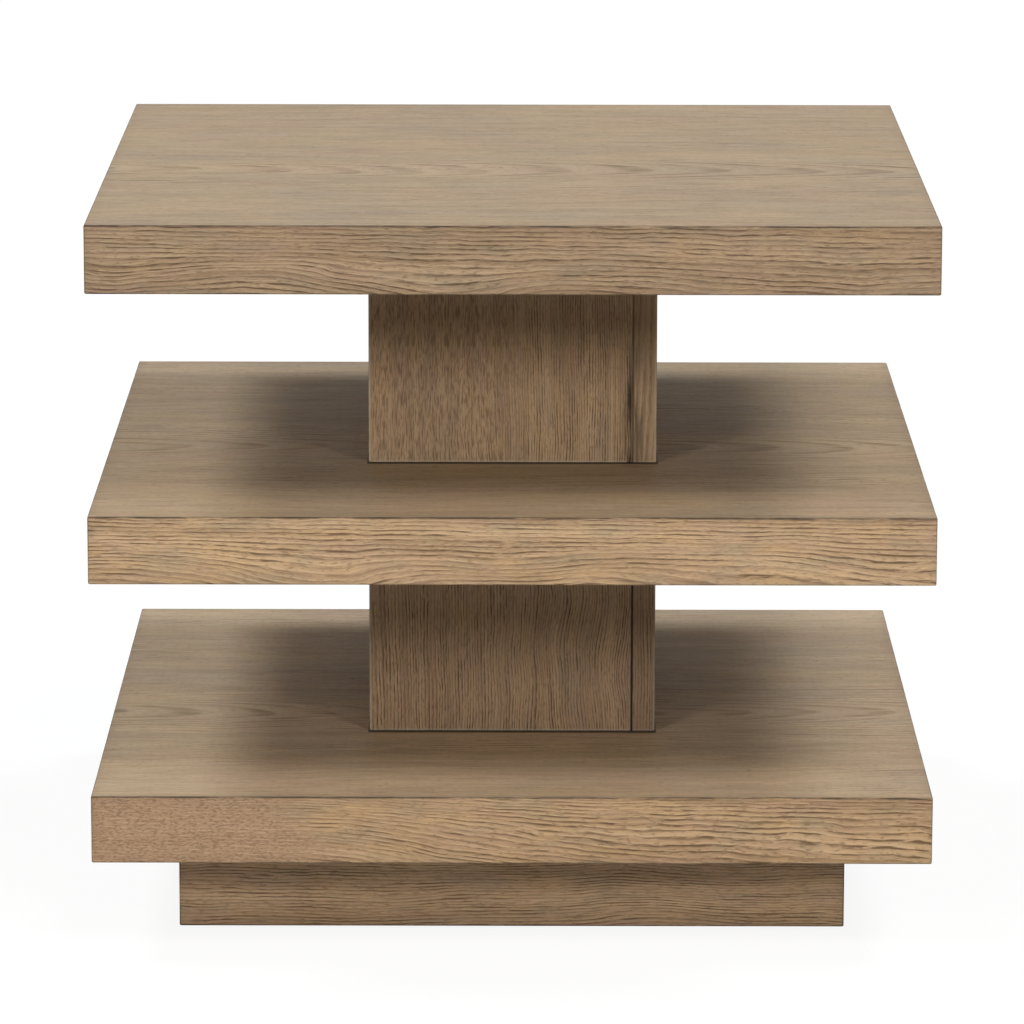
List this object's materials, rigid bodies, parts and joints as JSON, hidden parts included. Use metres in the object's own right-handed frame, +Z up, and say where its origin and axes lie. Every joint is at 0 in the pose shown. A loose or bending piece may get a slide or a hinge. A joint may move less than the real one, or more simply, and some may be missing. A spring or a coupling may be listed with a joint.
{
  "type": "tiered side table",
  "caption": "Square tiered side table of thick hollow oak-veneered tiers on centred box columns over a recessed plinth.",
  "frame": {"origin": "on the floor, under the middle of the table", "axes": "+Z up, -Y towards the front, +X to the right seen from the front"},
  "size_m": [0.66, 0.66, 0.579],
  "materials": {
    "tier_oak": "wire-brushed oak veneer, grey-brown stain, matt lacquer",
    "column_oak": "wire-brushed oak veneer, upright grain, grey-brown stain",
    "plinth_oak": "wire-brushed oak veneer, grey-brown stain",
    "underside_oak": "plain stained oak backing veneer",
    "core_wood": "raw sawn softwood",
    "dowel_beech": "raw fluted beech",
    "zinc_steel": "yellow zinc plate",
    "glide_nylon": "brown nylon"
  },
  "bodies": {
    "root": {"bottom_tier_back_edge": "tier_oak", "bottom_tier_core_block": "core_wood", "bottom_tier_core_ribs": "core_wood", "bottom_tier_corner_blocks": "core_wood", "bottom_tier_front_edge": "tier_oak", "bottom_tier_left_edge": "tier_oak", "bottom_tier_right_edge": "tier_oak", "bottom_tier_top_panel": "tier_oak", "bottom_tier_underside_panel": "underside_oak", "lower_column_back_panel": "column_oak", "lower_column_base_blocks": "core_wood", "lower_column_base_screws": "zinc_steel", "lower_column_dowels": "dowel_beech", "lower_column_front_panel": "column_oak", "lower_column_left_panel": "column_oak", "lower_column_right_panel": "column_oak", "lower_column_top_blocks": "core_wood", "lower_column_top_screws": "zinc_steel", "middle_tier_back_edge": "tier_oak", "middle_tier_core_block": "core_wood", "middle_tier_core_ribs": "core_wood", "middle_tier_corner_blocks": "core_wood", "middle_tier_front_edge": "tier_oak", "middle_tier_left_edge": "tier_oak", "middle_tier_right_edge": "tier_oak", "middle_tier_top_panel": "tier_oak", "middle_tier_underside_panel": "underside_oak", "plinth_back_board": "plinth_oak", "plinth_corner_blocks": "core_wood", "plinth_front_board": "plinth_oak", "plinth_glides": "glide_nylon", "plinth_left_board": "plinth_oak", "plinth_right_board": "plinth_oak", "plinth_screws": "zinc_steel", "top_tier_back_edge": "tier_oak", "top_tier_core_block": "core_wood", "top_tier_core_ribs": "core_wood", "top_tier_corner_blocks": "core_wood", "top_tier_front_edge": "tier_oak", "top_tier_left_edge": "tier_oak", "top_tier_right_edge": "tier_oak", "top_tier_top_panel": "tier_oak", "top_tier_underside_panel": "underside_oak", "upper_column_back_panel": "column_oak", "upper_column_base_blocks": "core_wood", "upper_column_base_screws": "zinc_steel", "upper_column_dowels": "dowel_beech", "upper_column_front_panel": "column_oak", "upper_column_left_panel": "column_oak", "upper_column_right_panel": "column_oak", "upper_column_top_blocks": "core_wood", "upper_column_top_screws": "zinc_steel"}
  },
  "joints": []
}
